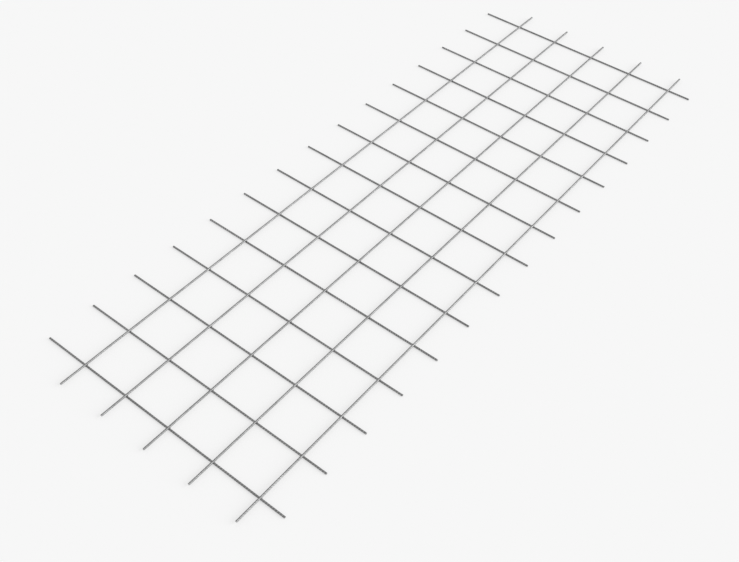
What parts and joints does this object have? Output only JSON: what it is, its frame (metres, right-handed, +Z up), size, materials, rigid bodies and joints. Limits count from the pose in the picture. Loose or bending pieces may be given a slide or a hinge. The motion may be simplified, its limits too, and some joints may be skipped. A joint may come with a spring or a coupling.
{
  "type": "welded wire mesh panel",
  "caption": "Flat reinforcing panel of ribbed steel wires, welded where they cross into an open square grid with free wire ends all round.",
  "frame": {"origin": "centre of the panel's footprint, on the level that the cross wires rest on", "axes": "+X along the long wires, +Y along the cross wires, +Z up through the panel from the cross wires to the long wires"},
  "size_m": [1.51, 0.545, 0.0072],
  "materials": {
    "ribbed_wire": "dull dark mill finish"
  },
  "bodies": {
    "root": {"mesh_panel": "ribbed_wire"}
  },
  "joints": []
}
